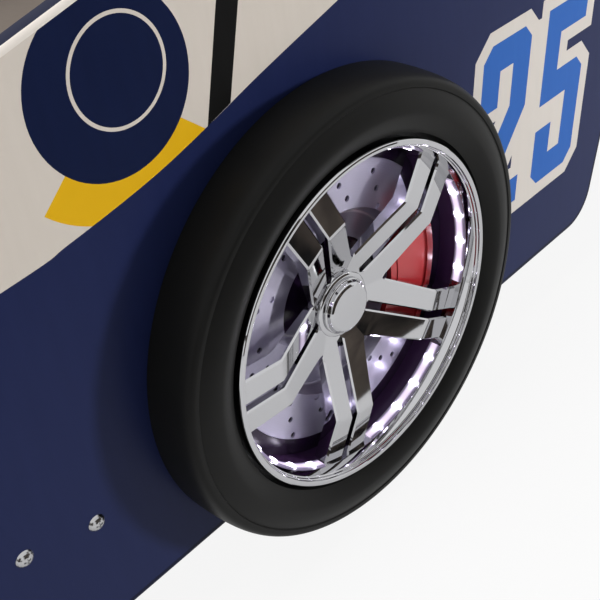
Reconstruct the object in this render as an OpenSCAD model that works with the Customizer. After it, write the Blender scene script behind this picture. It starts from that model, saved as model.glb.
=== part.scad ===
/* [Bed] */
// Clear width between the side panels, for the mattress
clear_width = 920; // [820:5:1020]
// Clear length between the footboard and the headboard, for the mattress
bay_length = 1910; // [1860:5:2010]
// Distance from the nose's tip to the mattress bay
nose_space = 140; // [130:1:180]
// Thickness of the panels and boards
board = 16; // [15:1:20]
// Height of the side panels' bottom edge above the floor
floor_gap = 70; // [68:1:80]
// Height of the bed base's top above the floor
base_height = 236; // [228:1:244]
// Distance from the tail's tip to the mattress bay
tail_space = 200; // [195:1:240]

/* [Side panels] */
// Greatest height of a side panel, from its bottom edge to the boot
panel_height = 552; // [530:1:570]
// Height of the low entry above the panel's bottom edge
entry_height = 314; // [300:1:330]
// Height of the front wing above the panel's bottom edge
wing_height = 386; // [370:1:400]
// Height of the nose above the panel's bottom edge
nose_height = 306; // [296:1:316]
// Outward lean of the tail, in degrees
tail_lean = 16.1; // [14:0.1:18]
// Radius of the boot's corner
tail_r = 60; // [45:1:70]
// Radius of the tail's lower corner
tail_foot_r = 44; // [30:1:50]
// Rounding of a side panel's outer edge
edge_round = 3.5; // [3:0.5:6]

/* [Wheels] */
// Height of the axles above the panels' bottom edge
axle_height = 129; // [128:0.5:134]
// Distance from the tail's lower corner to the rear axle
tail_to_axle = 397; // [385:1:410]
// Distance from the nose to the front axle
nose_to_axle = 440; // [425:1:455]
// Radius of a tyre at the panel
tyre_r = 195.5; // [190:0.5:196]
// How far a tyre's shoulder stands out from the panel
tyre_depth = 41.5; // [40:0.5:43]
// Radius that a tyre loses between the panel and its shoulder
tyre_taper = 6; // [4:0.5:7]
// Outer radius of the rim's lip
rim_r = 146; // [144:0.5:147]
// Radius of the brake disc
disc_r = 122; // [116:0.5:124]
// Outer radius of the wheel dish, where it is sunk into the panel
well_r = 89; // [88:0.5:92]
// Depth of the wheel dish in the panel
well_depth = 12.5; // [11:0.5:13]
// Radius of the hub cap
cap_r = 24.5; // [22:0.5:25.5]
// Half the width of a double spoke
spoke_half = 24; // [20:0.5:25]
// Half the width of the slot between a spoke's two bars
slot_half = 3.3; // [2.5:0.1:4]
// Radius of the ridge where a spoke's face folds
ridge_r = 95; // [90:1:100]
// Height of that ridge above the panel
ridge_height = 31; // [29.5:0.5:32]

/* [Inside] */
// Thickness of the base rails
rail_thick = 30; // [26:1:36]
// Height of the base rails and the cross rails
rail_height = 70; // [64:1:76]
// Thickness of the base boards
base_board = 16; // [15:1:18]
// Width of a cross rail
cross_width = 44; // [38:1:50]
// Radius of a foot's leg
foot_r = 22; // [18:1:25]
// Radius of the panel bolts' shanks
bolt_r = 3; // [2.5:0.1:3.5]
// Radius of the panel bolts' domed heads
bolt_head_r = 6.8; // [6:0.1:8]

/* [Hidden] */

// Overrun of every cut, clearance between pieces that slide together, and steps of a rounded corner
over = 2;
play = 0.3;
corner_steps = 16;

navy = "#1c2450";
cream = "#cfc4ba";
taupe = "#81776e";
black = "#1b1b1b";
chrome = "#c8c8ca";

// Side panel outline
bed_length = nose_space + bay_length + tail_space;
inner_y = clear_width / 2;
outer_y = inner_y + board;
top_z = floor_gap + panel_height;
entry_z = floor_gap + entry_height;
wing_z = floor_gap + wing_height;
nose_z = floor_gap + nose_height;
nose_x = -bed_length / 2;
boot_x = bed_length / 2 - tail_r;
tail_foot_x = boot_x + tail_r / cos(tail_lean) - (panel_height - tail_r) * tan(tail_lean);
rear_axle_x = tail_foot_x - tail_to_axle;
front_axle_x = nose_x + nose_to_axle;
axle_z = floor_gap + axle_height;
// Where the sloping waist meets the level boot, and where the level entry begins and ends
boot_lead = 311.4;
waist_top_x = rear_axle_x + boot_lead;
entry_shares = [0.2785, 0.4415];
wheelbase = rear_axle_x - front_axle_x;
entry_front_x = front_axle_x + wheelbase * entry_shares[0];
entry_rear_x = front_axle_x + wheelbase * entry_shares[1];
wing_lead = 65;
nose_setback = 41;
chin_setback = 37;
nose_top_drop = 106;
chin_rise = 80;
waist_r = 400;
entry_r = 280;
wing_r = 350;
nose_r = 70;
brow_r = 90;
chin_r = 60;
chin_foot_r = 45;
panel_corners = [
    [[tail_foot_x, floor_gap], tail_foot_r],
    [[tail_foot_x + panel_height * tan(tail_lean), top_z], tail_r],
    [[waist_top_x, top_z], waist_r],
    [[entry_rear_x, entry_z], entry_r],
    [[entry_front_x, entry_z], entry_r],
    [[front_axle_x + wing_lead, wing_z], wing_r],
    [[nose_x + nose_setback, nose_z], nose_r],
    [[nose_x, nose_z - nose_top_drop], brow_r],
    [[nose_x, floor_gap + chin_rise], chin_r],
    [[nose_x + chin_setback, floor_gap], chin_foot_r]
];

// Points of the arc of radius r that rounds the corner b between a and c
function arc_at(a, b, c, r) =
    let (
        u = (a - b) / norm(a - b),
        v = (c - b) / norm(c - b),
        half = acos(u * v) / 2,
        middle = b + (u + v) / norm(u + v) * r / sin(half),
        start = b + u * r / tan(half) - middle,
        turn = (180 - 2 * half) * sign(cross(b - a, c - b))
    )
    [for (k = [0:corner_steps])
        let (t = turn * k / corner_steps)
        middle + [start[0] * cos(t) - start[1] * sin(t), start[0] * sin(t) + start[1] * cos(t)]];

// Closed outline through corners given as [point, radius], counter-clockwise
function rounded(corners) =
    let (n = len(corners))
    [for (i = [0:n - 1])
        each arc_at(corners[(i + n - 1) % n][0], corners[i][0], corners[(i + 1) % n][0], corners[i][1])];

// The same corners with every side moved inwards by e
function inset(corners, e) =
    let (n = len(corners))
    [for (i = [0:n - 1])
        let (
            a = corners[(i + n - 1) % n][0],
            b = corners[i][0],
            c = corners[(i + 1) % n][0],
            u = (b - a) / norm(b - a),
            v = (c - b) / norm(c - b),
            side = sign(cross(u, v)),
            half = acos(-u * v) / 2,
            inward = (v - u) / norm(v - u) * side
        )
        [b + inward * e / sin(half), corners[i][1] - side * e]];

// Extrudes a drawing in X and Z along Y, from y0 to y1
module along_y(y0, y1) {
    translate([0, y1, 0])
        rotate([90, 0, 0])
            linear_extrude(y1 - y0)
                children();
}

// Puts a piece drawn on the left panel's outer face, with Z outwards, at an axle
module on_left(axle_x) {
    translate([axle_x, -outer_y, axle_z])
        rotate([90, 0, 0])
            children();
}

// The same at an axle of either side: -1 is the left one and 1 the right one
module at_wheel(axle_x, side) {
    if (side > 0)
        mirror([0, 1, 0])
            on_left(axle_x)
                children();
    else
        on_left(axle_x)
            children();
}

module both_sides() {
    children();
    mirror([0, 1, 0])
        children();
}

// Bolts and screws of a side panel, as distances from an axle
bolt_near = [256.6, -31.3];
bolt_far = [311, -15.5];
hub_screw_count = 3;
hub_screw_circle = 12.5;
hub_screw_bite = 11;
tyre_screw_bite = 15;
tyre_screw_angles = [-30, 30, 90, 150, 210];
tyre_screw_circle = 171;
lead_hole_r = 6;
lead_hole_circle = 40;
screw_r = 2;
screw_head_r = 4;
screw_head = 2;
tip_gap = 2;

module bolt_places(axle_x, inwards) {
    for (p = [bolt_near, bolt_far])
        translate([axle_x + inwards * p[0], 0, axle_z + p[1]])
            children();
}

module tyre_screw_places() {
    for (a = tyre_screw_angles)
        rotate([0, 0, a])
            translate([tyre_screw_circle, 0, 0])
                children();
}

module hub_screw_places() {
    for (k = [0:hub_screw_count - 1])
        rotate([0, 0, 90 + 360 / hub_screw_count * k])
            translate([hub_screw_circle, 0, 0])
                children();
}

module panel_bores() {
    for (spot = [[rear_axle_x, -1], [front_axle_x, 1]]) {
        bolt_places(spot[0], spot[1])
            rotate([90, 0, 0])
                translate([0, 0, inner_y - over])
                    cylinder(r = bolt_r + play, h = board + 2 * over, $fn = 32);
        on_left(spot[0]) {
            tyre_screw_places()
                translate([0, 0, -board - over]) {
                    cylinder(r = screw_r + play, h = board + 2 * over, $fn = 24);
                    cylinder(r = screw_head_r + play, h = screw_head + play + over, $fn = 32);
                }
            translate([0, 0, -well_depth - play])
                cylinder(r = well_r + play, h = well_depth + play + over, $fn = 96);
            translate([lead_hole_circle, 0, -board - over])
                cylinder(r = lead_hole_r, h = board + 2 * over, $fn = 32);
        }
    }
    bracket_screws(screw_r, bracket_screw);
}

// Layers of a side panel from its outer face inwards, as [depth, inset of the outline]
edge_steps = 4;
back_bevel = 1.5;
panel_layers = concat(
    [for (k = [0:edge_steps])
        let (t = 90 * k / edge_steps)
        [edge_round * (1 - cos(t)), edge_round * (1 - sin(t))]],
    [[board - back_bevel, 0], [board, back_bevel]]
);

// Side panel's solid: a board with a rounded outer edge and a small bevel on the inner one
module panel_blank() {
    outlines = [for (layer = panel_layers) rounded(inset(panel_corners, layer[1]))];
    count = len(outlines[0]);
    last = len(panel_layers) - 1;
    polyhedron(
        points = [for (k = [0:last], p = outlines[k]) [p[0], panel_layers[k][0] - outer_y, p[1]]],
        faces = concat(
            [[for (i = [count - 1:-1:0]) i], [for (i = [0:count - 1]) last * count + i]],
            [for (k = [0:last - 1], i = [0:count - 1])
                let (j = (i + 1) % count)
                [k * count + i, k * count + j, (k + 1) * count + j, (k + 1) * count + i]]
        )
    );
}

module side_panel() {
    difference() {
        panel_blank();
        panel_bores();
    }
}

module side_panel_left() {
    color(navy)
        side_panel();
}

module side_panel_right() {
    color(navy)
        mirror([0, 1, 0])
            side_panel();
}

// Skin between the side panels: it follows their outline, set back from the edge
skin_setback = 12;
skin_foot = 46;
bonnet_joint = 64;
boot_joint = 74;
bay_rear_x = bed_length / 2 - tail_space;
bay_front_x = bay_rear_x - bay_length;
foot_face_x = bay_front_x - board;
head_back_x = bay_rear_x + board;
skin_z = floor_gap + skin_foot;
bonnet_joint_x = nose_x + bonnet_joint;
boot_joint_x = bed_length / 2 - boot_joint;
boot_under_z = top_z - skin_setback - 2 * board;

module skin_outline() {
    difference() {
        polygon(rounded(inset(panel_corners, skin_setback)));
        polygon(rounded(inset(panel_corners, skin_setback + board)));
    }
}

// Part of the drawing between two values of X and two of Z
module window(x0, x1, z0, z1) {
    intersection() {
        children();
        translate([x0, z0])
            square([x1 - x0, z1 - z0]);
    }
}

module front_panel() {
    color(navy)
        along_y(-inner_y, inner_y)
            window(nose_x, bonnet_joint_x, skin_z, top_z)
                skin_outline();
}

module bonnet_board() {
    color(cream)
        along_y(-inner_y, inner_y)
            window(bonnet_joint_x, bay_front_x, base_height, top_z)
                skin_outline();
}

module boot_board() {
    color(cream)
        along_y(-inner_y, inner_y)
            window(bay_rear_x, boot_joint_x, boot_under_z, top_z)
                skin_outline();
}

module rear_panel() {
    color(navy)
        along_y(-inner_y, inner_y)
            difference() {
                window(head_back_x, bed_length / 2, skin_z, top_z)
                    skin_outline();
                translate([head_back_x - over, boot_under_z])
                    square([boot_joint_x - head_back_x + over, top_z - boot_under_z]);
            }
}

// Boards across the two ends of the mattress bay, with their tops under the skin
module bulkhead(x0) {
    difference() {
        along_y(-inner_y, inner_y)
            window(x0, x0 + board, skin_z, top_z)
                polygon(rounded(inset(panel_corners, skin_setback + board)));
        bracket_screws(screw_r, bracket_screw);
    }
}

module footboard() {
    color(navy)
        bulkhead(foot_face_x);
}

module headboard() {
    color(navy)
        bulkhead(bay_rear_x);
}

// Bed base
base_under_z = base_height - base_board;
rail_z = base_under_z - rail_height;
rail_inner_y = inner_y - rail_thick;
cross_drop = 10;
cross_z = rail_z + cross_drop;
board_length = bay_length / 3;
bay_middle_x = (bay_front_x + bay_rear_x) / 2;
end_rail_inset = 70;
board_play = 1;
vent_r = 25;
vent_row_count = 4;
vent_column_count = 2;
nut_r = 4.2;
nut_depth = 12;
nut_flange_r = 8;
nut_flange = 2.5;

module rail_bores() {
    for (spot = [[rear_axle_x, -1], [front_axle_x, 1]])
        bolt_places(spot[0], spot[1])
            rotate([90, 0, 0]) {
                translate([0, 0, rail_inner_y - over])
                    cylinder(r = bolt_r + play, h = rail_thick + 2 * over, $fn = 32);
                translate([0, 0, rail_inner_y - over])
                    cylinder(r = nut_r, h = nut_depth + over, $fn = 32);
                translate([0, 0, rail_inner_y - over])
                    cylinder(r = nut_flange_r + play, h = nut_flange + over, $fn = 40);
            }
}

module base_rail() {
    difference() {
        translate([bay_front_x, -inner_y, rail_z])
            cube([bay_length, rail_thick, rail_height]);
        rail_bores();
    }
}

module base_rail_left() {
    color("burlywood")
        base_rail();
}

module base_rail_right() {
    color("burlywood")
        mirror([0, 1, 0])
            base_rail();
}

module cross_rail(x) {
    color("burlywood")
        translate([x - cross_width / 2, -rail_inner_y, cross_z])
            cube([cross_width, 2 * rail_inner_y, base_under_z - cross_z]);
}

foot_end_x = bay_front_x + end_rail_inset;
head_end_x = bay_rear_x - end_rail_inset;
front_joint_x = bay_middle_x - board_length / 2;
rear_joint_x = bay_middle_x + board_length / 2;

module cross_rail_foot_end() {
    cross_rail(foot_end_x);
}

module cross_rail_front() {
    cross_rail(front_joint_x);
}

module cross_rail_rear() {
    cross_rail(rear_joint_x);
}

module cross_rail_head_end() {
    cross_rail(head_end_x);
}

// One of the three base boards, with its finger and vent holes
module base_panel(x) {
    column = board_length / (vent_column_count + 1);
    row = clear_width / (vent_row_count + 1);
    color(taupe)
        difference() {
            translate([x - board_length / 2 + board_play / 2, -inner_y + board_play, base_under_z])
                cube([board_length - board_play, clear_width - 2 * board_play, base_board]);
            for (i = [1:vent_column_count])
                for (j = [1:vent_row_count])
                    translate([x - board_length / 2 + i * column, -inner_y + j * row, base_under_z - over])
                        cylinder(r = vent_r, h = base_board + 2 * over, $fn = 48);
        }
}

module base_board_front() {
    base_panel(bay_middle_x - board_length);
}

module base_board_middle() {
    base_panel(bay_middle_x);
}

module base_board_rear() {
    base_panel(bay_middle_x + board_length);
}

// Turned feet under the cross rails, with a glide at the floor and a top plate
foot_inset = 126;
glide_r = 27;
glide_height = 7;
glide_bevel = 2;
plate_r = 30;
plate_height = 5;
waist_share = 0.8;

module foot(x, y) {
    color(black)
        translate([x, y, 0])
            rotate_extrude($fn = 48)
                polygon([
                    [0, 0], [glide_r - glide_bevel, 0], [glide_r, glide_bevel], [glide_r, glide_height],
                    [foot_r * waist_share, 2 * glide_height], [foot_r, cross_z - plate_height],
                    [plate_r, cross_z - plate_height], [plate_r, cross_z], [0, cross_z]
                ]);
}

foot_y = outer_y - foot_inset;

module foot_front_left() {
    foot(foot_end_x, -foot_y);
}

module foot_front_right() {
    foot(foot_end_x, foot_y);
}

module foot_rear_left() {
    foot(head_end_x, -foot_y);
}

module foot_rear_right() {
    foot(head_end_x, foot_y);
}

module foot_centre_front() {
    foot(front_joint_x, 0);
}

module foot_centre_rear() {
    foot(rear_joint_x, 0);
}

// Domed bolt from the outside, with its slot, drawn along Z with the head outwards
dome_height = 3.6;
dome_steps = 6;
slot_width = 1.6;
slot_share = 0.8;
slot_depth = 1.4;
nut_end = 2;
bolt_length = board + rail_thick - nut_end;

module dome(r, h) {
    radius = (r * r + h * h) / (2 * h);
    sweep = asin(r / radius);
    rotate_extrude($fn = 48)
        polygon(concat(
            [[0, 0]],
            [for (k = [dome_steps:-1:0])
                let (t = sweep * k / dome_steps)
                [radius * sin(t), radius * cos(t) - radius + h]]
        ));
}

module domed_bolt() {
    difference() {
        union() {
            dome(bolt_head_r, dome_height);
            translate([0, 0, -bolt_length])
                cylinder(r = bolt_r, h = bolt_length + dome_height / 2, $fn = 32);
        }
        for (a = [0, 90])
            rotate([0, 0, a])
                translate([-bolt_head_r * slot_share / 2, -slot_width / 2, dome_height - slot_depth])
                    cube([bolt_head_r * slot_share, slot_width, slot_depth + over]);
    }
}

module panel_bolts() {
    color(chrome)
        both_sides()
            for (spot = [[rear_axle_x, -1], [front_axle_x, 1]])
                bolt_places(spot[0], spot[1])
                    translate([0, -outer_y, 0])
                        rotate([90, 0, 0])
                            domed_bolt();
}

module rail_nuts() {
    color("silver")
        both_sides()
            for (spot = [[rear_axle_x, -1], [front_axle_x, 1]])
                bolt_places(spot[0], spot[1])
                    translate([0, -rail_inner_y, 0])
                        rotate([90, 0, 0])
                            difference() {
                                union() {
                                    cylinder(r = nut_flange_r, h = nut_flange, $fn = 40);
                                    cylinder(r = nut_r - play / 2, h = nut_depth, $fn = 32);
                                }
                                translate([0, 0, nut_end])
                                    cylinder(r = bolt_r + play / 2, h = nut_depth, $fn = 32);
                            }
}

// Tyre: an open-backed moulding with a smooth tread, a shoulder line and a bulged sidewall
tyre_skin = 3;
tyre_inner_r = rim_r + 4;
shoulder_r = tyre_r - tyre_taper;
sidewall_bulge = 4.2;
sidewall_steps = 8;
shoulder_step = 5.7;
shoulder_drop = 5;
line_width = 0.5;
tyre_wall_foot = 3;
boss_r = 6;

// Sidewall from the shoulder line inwards: a parabola that stands out by the bulge and drops at the rim
function sidewall(e) =
    let (outer = shoulder_r - shoulder_step, width = outer - tyre_inner_r)
    [for (k = [0:sidewall_steps])
        let (s = k / sidewall_steps)
        [
            outer - e * (1 - 2 * s) - width * s,
            tyre_depth - e + sidewall_bulge * 4 * s * (1 - s) - shoulder_drop * pow(s, 6)
        ]];

module tyre() {
    color(black)
        difference() {
            union() {
                rotate_extrude($fn = 128)
                    polygon(concat(
                        [
                            [tyre_r, 0],
                            [shoulder_r + tyre_taper / 4, tyre_depth * 3 / 5],
                            [shoulder_r, tyre_depth - shoulder_drop],
                            [shoulder_r - shoulder_step / 3, tyre_depth - shoulder_drop / 3],
                            [shoulder_r - shoulder_step + line_width, tyre_depth],
                            [shoulder_r - shoulder_step + line_width / 2, tyre_depth - line_width]
                        ],
                        sidewall(0),
                        [
                            [tyre_inner_r, tyre_wall_foot],
                            [tyre_inner_r + tyre_skin, tyre_wall_foot]
                        ],
                        [for (k = [sidewall_steps:-1:0]) sidewall(tyre_skin)[k]],
                        [
                            [shoulder_r - tyre_skin, tyre_depth - shoulder_drop - tyre_skin],
                            [tyre_r - tyre_skin, 0]
                        ]
                    ));
                tyre_screw_places()
                    cylinder(r = boss_r, h = tyre_depth + sidewall_bulge - tyre_skin, $fn = 32);
            }
            tyre_screw_places()
                translate([0, 0, -over])
                    cylinder(r = screw_r - play / 2, h = tyre_screw_bite + over, $fn = 24);
        }
}

// Rim: flange under the tyre, stepped barrel, rounded lip and five double spokes with folded faces
barrel_r = 137;
barrel_skin = 3;
lip_round = 1;
lip_width = 5;
step_count = 3;
step_drop = 3.4;
rim_height = tyre_depth - lip_round / 2;
spoke_count = 5;
spoke_angle = 39;
spoke_thick = 13;
spoke_flare = 1.5;
rim_end_height = 23;
hub_height = 7;
hub_r = 27.5;
hub_face = 5;
hub_floor = 3;
hub_back = 1;
slot_start = 29;
cap_seat_r = 20.8;

function barrel_steps() =
    let (run = (rim_r - lip_width - barrel_r) / step_count)
    [for (k = [0:step_count - 1])
        each [
            [rim_r - lip_width - run * k, rim_height - lip_round - step_drop * k],
            [rim_r - lip_width - run * k, rim_height - lip_round - step_drop * (k + 1)]
        ]];

module barrel() {
    rotate_extrude($fn = 128)
        polygon(concat(
            [
                [barrel_r, 0],
                [tyre_inner_r + tyre_skin, 0],
                [tyre_inner_r + tyre_skin, tyre_wall_foot],
                [barrel_r + 2 * barrel_skin, tyre_wall_foot],
                [barrel_r + 2 * barrel_skin, rim_end_height],
                [rim_r, rim_height - 2 * barrel_skin],
                [rim_r, rim_height - lip_round],
                [rim_r - lip_round, rim_height],
                [rim_r - lip_width + lip_round, rim_height]
            ],
            barrel_steps(),
            [[barrel_r, rim_height - lip_round - step_drop * step_count]]
        ));
}

// Plan of one double spoke along +X: nearly straight sides that flare at the rim, and a slot
module spoke_plan() {
    reach = barrel_r + barrel_skin;
    difference() {
        polygon([
            [0, -spoke_half - spoke_flare], [slot_start, -spoke_half - spoke_flare],
            [ridge_r, -spoke_half], [reach, -spoke_half - spoke_flare],
            [reach, spoke_half + spoke_flare], [ridge_r, spoke_half],
            [slot_start, spoke_half + spoke_flare], [0, spoke_half + spoke_flare]
        ]);
        translate([slot_start, -slot_half])
            square([reach, 2 * slot_half]);
    }
}

// Solid between the folded face and the folded back
module spoke_profile() {
    reach = barrel_r + barrel_skin;
    rotate_extrude($fn = 128)
        polygon([
            [0, hub_face], [hub_r, hub_face], [ridge_r, ridge_height], [reach, rim_end_height],
            [reach, rim_end_height - spoke_thick], [ridge_r, ridge_height - spoke_thick],
            [hub_r, hub_back], [0, hub_back]
        ]);
}

module rim() {
    color(chrome)
        difference() {
            union() {
                barrel();
                intersection() {
                    linear_extrude(tyre_depth)
                        for (k = [0:spoke_count - 1])
                            rotate([0, 0, spoke_angle - 360 / spoke_count * k])
                                spoke_plan();
                    spoke_profile();
                }
                translate([0, 0, hub_back])
                    cylinder(r = hub_r, h = hub_height - hub_back, $fn = 64);
            }
            translate([0, 0, hub_floor])
                cylinder(r = cap_seat_r, h = hub_height, $fn = 64);
            hub_screw_places()
                translate([0, 0, -over])
                    cylinder(r = screw_r + play, h = hub_floor + 2 * over, $fn = 24);
        }
}

// Hub cap: a flat face with two bevels, on a spigot
cap_height = 3.6;
cap_bevel = 2.4;
cap_spigot = 1.3;
spigot_skin = 2.5;

module hub_cap() {
    top = hub_height + cap_height;
    color(chrome)
        rotate_extrude($fn = 64)
            polygon([
                [0, hub_height], [cap_seat_r - play - spigot_skin, hub_height],
                [cap_seat_r - play - spigot_skin, hub_height - cap_spigot],
                [cap_seat_r - play, hub_height - cap_spigot], [cap_seat_r - play, hub_height],
                [cap_r, hub_height], [cap_r, top - cap_bevel],
                [cap_r - cap_bevel * 2 / 3, top - cap_bevel / 4], [cap_r - cap_bevel * 4 / 3, top], [0, top]
            ]);
}

// Wheel dish: a thin black pan sunk into the panel, with a flange round it and a boss for the hub
well_skin = 2;
flange_thick = 1;
boss_outer_r = 25;
dish_flange_r = barrel_r - play;

module wheel_dish() {
    color(black)
        difference() {
            rotate_extrude($fn = 96)
                polygon([
                    [0, -well_depth], [well_r, -well_depth], [well_r, 0], [dish_flange_r, 0],
                    [dish_flange_r, flange_thick], [well_r - well_skin, flange_thick],
                    [well_r - well_skin, well_skin - well_depth], [boss_outer_r, well_skin - well_depth],
                    [boss_outer_r, hub_back], [0, hub_back]
                ]);
            hub_screw_places()
                translate([0, 0, hub_floor - hub_screw_bite - over])
                    cylinder(r = screw_r, h = hub_screw_bite + over, $fn = 24);
            translate([lead_hole_circle, 0, -well_depth - over])
                cylinder(r = lead_hole_r, h = well_skin + 2 * over, $fn = 32);
        }
}

// Brake disc: a ring with slanting rows of drilled holes, a bevel down into the dish, and a bore
disc_rise = 1.5;
disc_bore_r = 54;
disc_ring_r = 81.5;
disc_step_r = 76.5;
disc_floor = 2;
disc_bead = 2;
disc_bead_rise = 1;
disc_row_count = 15;
disc_row_angle = 49.7;
disc_hole_r = 2.6;
disc_hole_start = 84.5;
disc_hole_pitch = 13.3;
disc_hole_skew = 5.8;
disc_edge = 0.5;
disc_top = flange_thick + disc_rise;

module brake_disc() {
    bottom = well_skin - well_depth;
    color("#8a8890")
        difference() {
            rotate_extrude($fn = 128)
                polygon([
                    [disc_bore_r, bottom], [well_r - well_skin - play, bottom],
                    [well_r - well_skin - play, flange_thick], [disc_r, flange_thick],
                    [disc_r, disc_top - disc_edge], [disc_r - disc_edge, disc_top],
                    [disc_ring_r, disc_top],
                    [disc_step_r, bottom + disc_floor + disc_bead_rise],
                    [disc_step_r - disc_bead, bottom + disc_floor + disc_bead_rise],
                    [disc_step_r - disc_bead, bottom + disc_floor], [disc_bore_r, bottom + disc_floor]
                ]);
            for (row = [0:disc_row_count - 1])
                for (k = [0:2]) {
                    step = k + (row % 2) / 2;
                    rotate([0, 0, disc_row_angle + 360 / disc_row_count * row + disc_hole_skew * step])
                        translate([disc_hole_start + disc_hole_pitch * step, 0, flange_thick])
                            cylinder(r = disc_hole_r, h = disc_rise + over, $fn = 20);
                }
        }
}

// Calliper: a curved block on the disc, with a bridge at its rim, a raised pad and two slide bolts
calliper_start = -45;
calliper_end = 37;
calliper_inner_r = 60;
calliper_outer_r = 115;
calliper_height = 5;
bridge_width = 7;
bridge_rise = 1.6;
pad_margin = 8;
pad_rise = 0.8;
calliper_steps = 20;
slide_bolt_r = 2.4;

module ring_sector(r0, r1, a0, a1) {
    polygon(concat(
        [for (k = [0:calliper_steps])
            let (t = a0 + (a1 - a0) * k / calliper_steps)
            r1 * [cos(t), sin(t)]],
        [for (k = [calliper_steps:-1:0])
            let (t = a0 + (a1 - a0) * k / calliper_steps)
            r0 * [cos(t), sin(t)]]
    ));
}

module calliper() {
    margin_angle = asin(pad_margin / calliper_inner_r);
    pad_outer_r = calliper_outer_r - bridge_width - pad_margin / 2;
    color("#c0322f")
        translate([0, 0, disc_top]) {
            linear_extrude(calliper_height)
                ring_sector(calliper_inner_r, calliper_outer_r, calliper_start, calliper_end);
            linear_extrude(calliper_height + bridge_rise)
                ring_sector(
                    calliper_outer_r - bridge_width, calliper_outer_r, calliper_start, calliper_end
                );
            linear_extrude(calliper_height + pad_rise)
                ring_sector(
                    calliper_inner_r + pad_margin, pad_outer_r,
                    calliper_start + 2 * margin_angle, calliper_end - 2 * margin_angle
                );
            for (a = [calliper_start + margin_angle, calliper_end - margin_angle])
                rotate([0, 0, a])
                    translate([(calliper_inner_r + pad_outer_r) / 2, 0, 0])
                        cylinder(r = slide_bolt_r, h = calliper_height + pad_rise, $fn = 24);
        }
}

// Light strip: a band in each window between the spokes, with its lamps facing the hub
strip_height = 10;
strip_base = 18;
strip_skin = 1.2;
strip_gap = 13;
lamps_per_window = 4;
lamp_size = 5;
lamp_rise = 1.4;
strip_seat = 0.1;

module light_strip() {
    pitch = 360 / spoke_count;
    span = pitch - 2 * strip_gap;
    back_r = barrel_r - strip_seat;
    color("#e9e4ff")
        for (k = [0:spoke_count - 1])
            rotate([0, 0, spoke_angle - pitch * k + strip_gap]) {
                rotate_extrude(angle = span, $fn = 128)
                    translate([back_r - strip_skin, strip_base])
                        square([strip_skin, strip_height]);
                for (j = [0:lamps_per_window - 1])
                    rotate([0, 0, span * (j + 1 / 2) / lamps_per_window])
                        translate([
                            back_r - strip_skin - lamp_rise, -lamp_size / 2,
                            strip_base + (strip_height - lamp_size) / 2
                        ])
                            cube([lamp_rise + strip_skin / 2, lamp_size, lamp_size]);
            }
}

// Screws that hold the wheels: into the tyres from inside, and through the hubs from outside
module screw(length) {
    cylinder(r = screw_head_r, h = screw_head, $fn = 32);
    translate([0, 0, -length])
        cylinder(r = screw_r - play, h = length, $fn = 24);
}

module wheel_screws() {
    color("silver")
        for (side = [-1, 1])
            for (x = [rear_axle_x, front_axle_x])
                at_wheel(x, side) {
                    tyre_screw_places()
                        translate([0, 0, -board])
                            rotate([180, 0, 0])
                                screw(board + tyre_screw_bite - tip_gap);
                    hub_screw_places()
                        translate([0, 0, hub_floor])
                            screw(hub_floor + hub_screw_bite - tip_gap);
                }
}

// Steel angles that join the bulkheads to the side panels inside the nose and the tail
bracket_leg = 32;
bracket_thick = 2.5;
bracket_width = 36;
bracket_shares = [0.28, 0.74];
bracket_hole_share = 0.625;
bracket_room = nose_z - skin_setback - board - skin_z;
bracket_screw = 13;

module bracket_stack() {
    for (share = bracket_shares)
        translate([0, 0, bracket_room * share - bracket_width / 2])
            children();
}

module bracket_places() {
    both_sides() {
        translate([head_back_x, -inner_y, skin_z])
            bracket_stack()
                children();
        translate([foot_face_x, -inner_y, skin_z])
            rotate([0, 0, 90])
                bracket_stack()
                    children();
    }
}

// Screws of the brackets, with their heads on the legs and their shanks in the boards
module bracket_screws(r, length) {
    bracket_places() {
        translate([bracket_leg * bracket_hole_share, bracket_thick, bracket_width / 2])
            rotate([-90, 0, 0]) {
                cylinder(r = screw_head_r, h = screw_head, $fn = 32);
                translate([0, 0, -bracket_thick - length])
                    cylinder(r = r, h = bracket_thick + length, $fn = 24);
            }
        translate([bracket_thick, bracket_leg * bracket_hole_share, bracket_width / 2])
            rotate([0, 90, 0]) {
                cylinder(r = screw_head_r, h = screw_head, $fn = 32);
                translate([0, 0, -bracket_thick - length])
                    cylinder(r = r, h = bracket_thick + length, $fn = 24);
            }
    }
}

module corner_brackets() {
    color("silver")
        bracket_places()
            difference() {
                linear_extrude(bracket_width)
                    polygon([
                        [0, 0], [bracket_leg, 0], [bracket_leg, bracket_thick],
                        [bracket_thick, bracket_thick], [bracket_thick, bracket_leg], [0, bracket_leg]
                    ]);
                translate([bracket_leg * bracket_hole_share, 0, bracket_width / 2])
                    rotate([-90, 0, 0])
                        translate([0, 0, -over])
                            cylinder(r = screw_r + play, h = bracket_thick + 2 * over, $fn = 24);
                translate([0, bracket_leg * bracket_hole_share, bracket_width / 2])
                    rotate([0, 90, 0])
                        translate([0, 0, -over])
                            cylinder(r = screw_r + play, h = bracket_thick + 2 * over, $fn = 24);
            }
}

module frame_screws() {
    color("dimgray")
        bracket_screws(screw_r - play, bracket_screw - tip_gap);
}

// Power box of the wheel lights, on the front of the footboard inside the nose
power_box_size = [38, 120, 64];
power_box_rise = 40;
power_fin = 2.5;
power_fins = 5;

module power_box() {
    fin_pitch = power_box_size[1] / power_fins;
    color("#303234")
        translate([foot_face_x - power_box_size[0], -power_box_size[1] / 2, skin_z + power_box_rise]) {
            cube(power_box_size);
            for (k = [0:power_fins - 1])
                translate([-power_fin, fin_pitch * (k + 1 / 2) - power_fin / 2, power_fin])
                    cube([power_fin + over, power_fin, power_box_size[2] - 2 * power_fin]);
        }
}

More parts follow.
